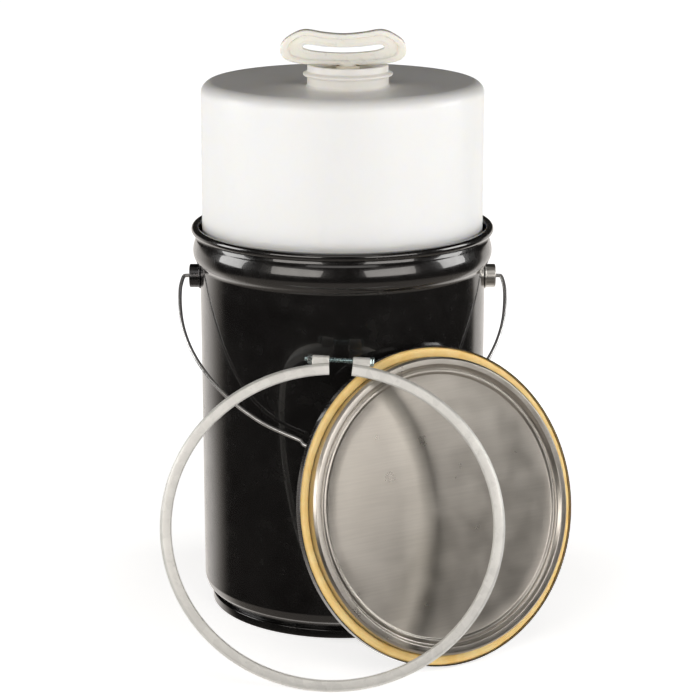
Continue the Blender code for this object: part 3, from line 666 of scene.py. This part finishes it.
def outline(half_points, lowest):
    """The closed outline from its right half, which starts at the top centre."""
    points = half_points + [(0, lowest)] + [(-x, z) for x, z in reversed(half_points[1:])]
    return spline([(x, 0, z) for x, z in points], 8, True)


outer_loop, hole_loop = outline(loop_half, -0.0156), outline(hole_half, -0.0046)
rim, web = LOOP_RIM_HALF, LOOP_WEB_HALF
section = [(0.000, -rim + 0.0010), (0.000, rim - 0.0010), (0.015, rim - 0.0003), (0.045, rim),
           (0.290, rim), (0.320, rim - 0.0003), (0.345, rim - 0.0010), (0.370, web + 0.0010),
           (0.390, web + 0.0002), (0.420, web), (0.780, web), (0.800, web + 0.0007),
           (0.970, web + 0.0007), (1.000, web - 0.0006)]
section += [(s, -y) for s, y in reversed(section[2:])]
rings = [[Vector((a.lerp(b, s).x, y, a.lerp(b, s).z)) for a, b in zip(outer_loop, hole_loop)]
         for s, y in section]
loop_verts, loop_faces = loft(rings + [rings[0]], closed_ends=False)
count = len(outer_loop)
last_ring = len(loop_verts) - count
loop_faces = [[v - last_ring if v >= last_ring else v for v in f] for f in loop_faces]
loop_verts = loop_verts[:last_ring]
loop_z = LOOP_Z - SEAT_Z
loop_obj = bpy.data.objects.new("loop_blank", mesh_of("loop_blank", loop_verts, loop_faces))
stem_profile = [(0, 0.0063)] + fillet([(0.001, 0.0063), (STEM_R, 0.0063),
                                       (STEM_R, loop_z - 0.0125)], 0.0010) + [(0, loop_z - 0.0125)]
stem_verts, stem_faces, _ = revolve([(r, z - loop_z) for r, z in stem_profile], 72)
stem_verts = [(x - LOOP_X, y, z) for x, y, z in stem_verts]
stem_obj = bpy.data.objects.new("stem_blank", mesh_of("stem_blank", stem_verts, stem_faces))
for blank in (loop_obj, stem_obj):
    bpy.context.scene.collection.objects.link(blank)
union = loop_obj.modifiers.new("stem", "BOOLEAN")
union.operation, union.solver, union.object = "UNION", "EXACT", stem_obj
loop_mesh = applied(loop_obj)
bpy.data.objects.remove(stem_obj)
piece("pull_handle", "plug", "handle_loop", PLUG @ Matrix.Translation((LOOP_X, 0, loop_z)), loop_mesh,
      [LOOP_PLASTIC], smooth=45)


# ------------------------------------------------------------------------------- lid
def oil_can(r, z, angle):
    """The thin panel isn't quite flat."""
    share = (r / LID_PANEL_R) ** 2
    inside = max(0.0, 1 - share) ** 0.5
    return 0.0, inside * (0.00030 + 0.00014 * np.sin(2 * angle + 0.7) * share)


back_side = [(0, -0.0105)] + densify(fillet([
    (0.002, -0.0105), (0.1262, -0.0105), (0.1280, -0.0120), (0.1300, -0.0120), (0.1320, -0.0108),
    (0.1338, -0.0122), (0.1356, -LID_SINK + SHEET), (0.1396, -LID_SINK + SHEET),
    (LID_WALL_R - SHEET, -LID_SINK + SHEET + 0.0024), (LID_WALL_R - SHEET, -0.0006),
    (LID_WALL_R - SHEET + 0.0012, 0.0), (LID_R - 0.0006, 0.0), (LID_R, -0.0010),
    (LID_R, -LID_SKIRT)], 0.0012), 0.012)
front_side = densify(fillet([
    (LID_R - SHEET, -LID_SKIRT), (LID_R - SHEET, -0.0012), (LID_R - 0.0012, -SHEET),
    (LID_WALL_R + 0.0006, -SHEET), (LID_WALL_R, -0.0016), (LID_WALL_R, -LID_SINK + 0.0022),
    (0.1404, -LID_SINK), (0.1352, -LID_SINK), (0.1334, -0.0130), (0.1318, -0.0117),
    (0.1300, -0.0130), (0.1280, -0.0130), (0.1262, -0.0114), (0.002, -0.0114)], 0.0010), 0.012)
lid_verts, lid_faces, lid_rows = revolve(back_side + front_side + [(0, -0.0114)], warp=oil_can)
lid_look = [0 if row < len(back_side) else 1 for row in lid_rows]
piece("lid_sheet", "lid", "lid_panel", LID, (lid_verts, lid_faces), [LID_ENAMEL, TINPLATE], lid_look,
      baked=True)


def flowed(r, z, angle):
    """The compound is poured, so its surface wanders a little."""
    free = 1.0 if z < -0.004 else 0.0
    return 0.0, free * (0.00018 * np.sin(13 * angle) + 0.00012 * np.sin(31 * angle + 1.3)
                        + 0.00008 * np.sin(57 * angle + 0.5))


gasket_in, gasket_out = LID_WALL_R + GAP, LID_R - SHEET - GAP
gasket = fillet([(gasket_in, -SHEET - 0.0020), (gasket_in + 0.0012, -SHEET - GAP),
                 (gasket_out - 0.0012, -SHEET - GAP), (gasket_out, -SHEET - 0.0016),
                 (gasket_out, -0.0050), (gasket_out - 0.0016, -0.0060), (0.1478, -0.0063),
                 (gasket_in + 0.0012, -0.0058), (gasket_in, -0.0050)], 0.0010)
piece("gasket_bead", "lid", "lid_gasket", LID, revolve(gasket, warp=flowed), [COMPOUND], baked=True)

# ------------------------------------------------------------------------- bolt ring
def sprung(r, z, angle):
    """The open ring springs a little wider than it is high."""
    return RING_WIDE * np.cos(angle) ** 2, 0.0


edge, RING_INNER_R = RING_SHEET / 2, RING_R - RING_DEPTH
channel = fillet([
    (RING_INNER_R + 0.0006, -RING_HALF), (RING_R - 0.0022, -RING_HALF + 0.0004),
    (RING_R, -RING_HALF + 0.0040), (RING_R, RING_HALF - 0.0040),
    (RING_R - 0.0022, RING_HALF - 0.0004), (RING_INNER_R + 0.0006, RING_HALF)], 0.0030, 7)
channel += arc(RING_INNER_R + 0.0006, RING_HALF - edge, edge, 90, 270, 8)[1:-1]
channel += fillet([
    (RING_INNER_R + 0.0006, RING_HALF - RING_SHEET), (RING_R - 0.0032, RING_HALF - 0.0020),
    (RING_R - RING_SHEET, RING_HALF - 0.0048), (RING_R - RING_SHEET, -RING_HALF + 0.0048),
    (RING_R - 0.0032, -RING_HALF + 0.0020), (RING_INNER_R + 0.0006, -RING_HALF + RING_SHEET)],
    0.0022, 6)
channel += arc(RING_INNER_R + 0.0006, -RING_HALF + edge, edge, 90, 270, 8)[1:-1]
piece("band", "ring", "ring_band", RING,
      revolve(channel, 288, RING_ROLL - math.pi / 2 + RING_GAP, math.tau - 2 * RING_GAP, sprung),
      [BAND_ZINC], baked=True)

gap_half = RING_R * math.sin(RING_GAP)


def saddle(low_x):
    """A lug of strip folded over the bolt, whose two feet stand on the band."""
    lug_in, lug_out, rings = BOLT_R + 0.0004, BOLT_R + 0.0004 + LUG_SHEET, []
    for k in range(17):
        t = k / 16
        x, cut = low_x + LUG_LENGTH * t, 0.00022 if k in (0, 16) else 0.0
        slope = RING_ROLL + x / RING_R
        reach = RING_R + RING_WIDE * math.sin(slope) ** 2
        foot = BOLT_AXIS_R - GAP - math.sqrt(reach ** 2 - x ** 2)
        around = [(foot - cut, lug_out - cut)] + [(foot * s, lug_out - cut) for s in (0.75, 0.4)]
        around += arc(0.0, 0.0, lug_out - cut, 90, 270, 32)
        around += [(foot * s, -lug_out + cut) for s in (0.4, 0.75)] + [(foot - cut, -lug_out + cut)]
        inside = [(foot - cut, -lug_in - cut)] + arc(0.0, 0.0, lug_in + cut, 270, 90, 32)
        inside += [(foot - cut, lug_in + cut)]
        rings.append([(x, y, z) for y, z in around + inside])
    return loft(rings)


for side, low_x in (("left", -gap_half - LUG_LENGTH), ("right", gap_half)):
    piece("lug_sleeve_" + side, "ring", "ring_lug_" + side, BOLT, saddle(low_x), [LUG_ZINC])


def hexagon(radius, points_per_side=12):
    """A hexagon's outline as (radius, angle) pairs, its corners a little rounded."""
    out = []
    for k in range(6 * points_per_side):
        a = math.tau * k / (6 * points_per_side)
        near = (a + math.pi / 6) % (math.pi / 3) - math.pi / 6
        apothem = radius * math.cos(math.pi / 6)
        out.append((min(apothem / math.cos(math.pi / 6 - abs(near)), radius * 0.985), a))
    return out


def ring_at(x, polar_points):
    return [(x, r * math.cos(a), r * math.sin(a)) for r, a in polar_points]


def chamfered_hex(x0, x1, radius, steps=6):
    """Rings of a hexagon whose ends are turned off to a cone."""
    rings_hex = []
    for k in range(steps + 1):
        t = k / steps
        cap = radius * (0.90 + 0.10 * min(1.0, 6 * t, 6 * (1 - t)))
        rings_hex.append(ring_at(x0 + (x1 - x0) * t, [(min(r, cap), a) for r, a in hexagon(radius)]))
    return rings_hex


nut_low = -gap_half - LUG_LENGTH - GAP - NUT_LENGTH
nut_rings = chamfered_hex(nut_low, nut_low + NUT_LENGTH, NUT_R, 12)
bore = [(BOLT_R + GAP, a) for _, a in hexagon(NUT_R)]
wide_bore = [(BOLT_R + GAP + 0.0004, a) for _, a in hexagon(NUT_R)]
nut_rings += [ring_at(nut_low + NUT_LENGTH, wide_bore), ring_at(nut_low + NUT_LENGTH - 0.0004, bore),
              ring_at(nut_low + 0.0004, bore), ring_at(nut_low, wide_bore)]
nut_verts, nut_faces = loft(nut_rings + [nut_rings[0]], closed_ends=False)
last = len(nut_verts) - len(nut_rings[0])
nut_faces = [[v - last if v >= last else v for v in f] for f in nut_faces]
piece("clamp_nut", "ring", "ring_nut", BOLT, (nut_verts[:last], nut_faces), [NUT_ZINC], smooth=30)

head_low = gap_half + LUG_LENGTH + GAP
shank_low = nut_low - 0.0030
bolt_rings, sides = [], 36
length = head_low - shank_low
rows = int(length / BOLT_PITCH * 8)
for k in range(rows + 1):
    x = shank_low + length * k / rows
    ring = []
    for s in range(sides):
        a = math.tau * s / sides
        phase = ((x - shank_low) / BOLT_PITCH - s / sides) % 1.0
        depth = 0.00052 * (1 - abs(2 * phase - 1)) ** 0.9
        depth *= min(1.0, (head_low - x) / 0.0015)
        taper = max(0.0, 0.0009 - (x - shank_low)) * 0.8
        r = BOLT_R - depth - taper
        ring.append((x, r * math.cos(a), r * math.sin(a)))
    bolt_rings.append(ring)


def resampled(points, number):
    return [points[int(round(k * len(points) / number)) % len(points)] for k in range(number)]


for x, scale in ((head_low, 0.94), (head_low + 0.0003, 0.97), (head_low + 0.0005, 1.0),
                 (head_low + HEAD_LENGTH - 0.0010, 1.0), (head_low + HEAD_LENGTH - 0.0004, 0.95),
                 (head_low + HEAD_LENGTH, 0.84)):
    bolt_rings.append(ring_at(x, [(r * scale, a) for r, a in resampled(hexagon(HEAD_R), sides)]))
for scale, sink in ((0.62, 0.0), (0.58, 0.00035), (0.02, 0.00035)):
    bolt_rings.append(ring_at(head_low + HEAD_LENGTH - sink,
                              [(HEAD_R * scale, math.tau * s / sides) for s in range(sides)]))
piece("clamp_bolt", "bolt", "ring_bolt", BOLT, loft(bolt_rings), [BOLT_ZINC], smooth=32)

# ---------------------------------------------------------------------- floor, lights
scene = bpy.context.scene
scene.view_settings.view_transform = "Standard"
scene.view_settings.look = "None"


def stage_floor():
    """A plain white floor that glows, its glow painted dimmer near the object (a painted pool of shade)
    and brighter away from it, with soft contact shadows.
    """
    reach, drop = 9.0, 0.0002
    mesh = bpy.data.meshes.new("floor")
    mesh.from_pydata([(x, y, -drop) for x, y in ((-reach, -reach), (reach, -reach),
                                                 (reach, reach), (-reach, reach))],
                     [], [(0, 1, 2, 3)])
    look = Look("floor_white", (0.86, 0.86, 0.86), 0.9)
    far = look.node("VectorMath", {0: look.coords}, operation="LENGTH").outputs["Value"]
    # The floor's own glow is painted dimmer near the object: painted shade round its foot.
    glow = look.node("MapRange", {"Value": far, "From Min": 0.25, "From Max": 1.1,
                                  "To Min": 0.66, "To Max": 1.05}).outputs[0]
    look.bsdf.inputs["Emission Color"].default_value = (1, 1, 1, 1)
    look.tree.links.new(glow, look.bsdf.inputs["Emission Strength"])
    mesh.materials.append(look.mat)
    obj = bpy.data.objects.new("floor", mesh)
    scene.collection.objects.link(obj)
    obj.visible_glossy = False


def softbox(name, azimuth, elevation, distance, width, height, radiance, colour, aim=0.30):
    """An area light facing the object; azimuth 0 is the front, positive to the right."""
    a, e = math.radians(azimuth), math.radians(elevation)
    light = bpy.data.lights.new(name, "AREA")
    light.shape, light.size, light.size_y = "RECTANGLE", width, height
    light.energy, light.color = radiance * math.pi * width * height, colour
    obj = bpy.data.objects.new(name, light)
    scene.collection.objects.link(obj)
    centre = PAIL.translation + Vector((0, 0, aim))
    back = Vector((math.sin(a) * math.cos(e), -math.cos(a) * math.cos(e), math.sin(e)))
    obj.location = centre + back * distance
    obj.rotation_euler = back.to_track_quat("Z", "Y").to_euler()
    obj.visible_camera = False


def studio_world():
    """White seen directly; in reflections bright behind the object and low down, dark in front."""
    world = bpy.data.worlds.new("studio")
    scene.world = world
    world.use_nodes = True
    tree = world.node_tree
    tree.nodes.clear()

    def node(kind, inputs=None, **props):
        made = tree.nodes.new("ShaderNode" + kind)
        for key, value in props.items():
            setattr(made, key, value)
        for key, value in (inputs or {}).items():
            if isinstance(value, bpy.types.NodeSocket):
                tree.links.new(value, made.inputs[key])
            else:
                made.inputs[key].default_value = value
        return made

    def calc(operation, a, b=0.0):
        return node("Math", {0: a, 1: b}, operation=operation).outputs[0]

    def step(value, start, end):
        return node("MapRange", {"Value": value, "From Min": start, "From Max": end},
                    interpolation_type="SMOOTHSTEP").outputs[0]

    x, y, z = node("SeparateXYZ", {0: node("TexCoord").outputs["Generated"]}).outputs
    flat = calc("SQRT", calc("ADD", calc("MULTIPLY", x, x), calc("MULTIPLY", y, y)))
    behind = calc("DIVIDE", y, calc("MAXIMUM", flat, 0.001))
    right = step(behind, 0.62, 0.74)
    left = step(behind, 0.30, 0.80)
    on_left = step(calc("MULTIPLY", x, -1.0), 0.0, 0.05)
    back = calc("ADD", calc("MULTIPLY", left, on_left),
                calc("MULTIPLY", right, calc("SUBTRACT", 1.0, on_left)))
    back = calc("MULTIPLY", back, calc("SUBTRACT", 1.0, step(z, -0.04, 0.06)))
    down = step(calc("MULTIPLY", z, -1.0), 0.40, 0.56)
    strength = calc("ADD", calc("ADD", calc("MULTIPLY", back, 0.85), calc("MULTIPLY", down, 0.30)), 0.02)
    tint = node("Mix", {0: back, 6: (1.0, 0.90, 0.80, 1), 7: (1.0, 0.95, 0.90, 1)}, data_type="RGBA")
    reflected = node("Background", {"Color": tint.outputs[2], "Strength": strength})
    seen = node("Background", {"Color": (1, 1, 1, 1), "Strength": 1.05})
    camera_ray = node("LightPath").outputs["Is Camera Ray"]
    mixed = node("MixShader", {0: camera_ray, 1: reflected.outputs[0], 2: seen.outputs[0]})
    out = node("OutputWorld", {"Surface": mixed.outputs[0]})
    return out


stage_floor()
studio_world()
softbox("side_left", -91, 17, 1.7, 0.75, 0.75, 5.2, (1.0, 0.99, 0.97))
softbox("side_right", 91, 17, 1.7, 0.75, 0.75, 5.2, (1.0, 0.99, 0.97))
softbox("front_left", -34, 15, 1.7, 1.15, 0.60, 3.4, (1.0, 0.955, 0.90))
softbox("front_right", 36, 15, 1.7, 1.15, 0.60, 3.4, (1.0, 0.955, 0.91))
softbox("front_high", 0, 50, 2.2, 1.8, 0.9, 1.05, (1.0, 0.96, 0.92))
softbox("overhead", 0, 84, 2.0, 1.8, 1.4, 0.20, (1.0, 0.93, 0.86))

# -------------------------------------------------------------------------- camera
CAMERA_FROM_PAIL = Vector((0.0076, -2.2408, 0.8435))   # from the pail's foot
CAMERA_TILT = math.radians(75.4)                       # from straight down
SENSOR_MM, LENS_MM = 36.0, 116.98

camera_data = bpy.data.cameras.new("camera")
camera_data.sensor_width, camera_data.lens = SENSOR_MM, LENS_MM
camera_data.clip_end = 50
camera = bpy.data.objects.new("camera", camera_data)
scene.collection.objects.link(camera)
camera.location = PAIL.translation + CAMERA_FROM_PAIL
camera.rotation_euler = (CAMERA_TILT, 0, 0)
scene.camera = camera
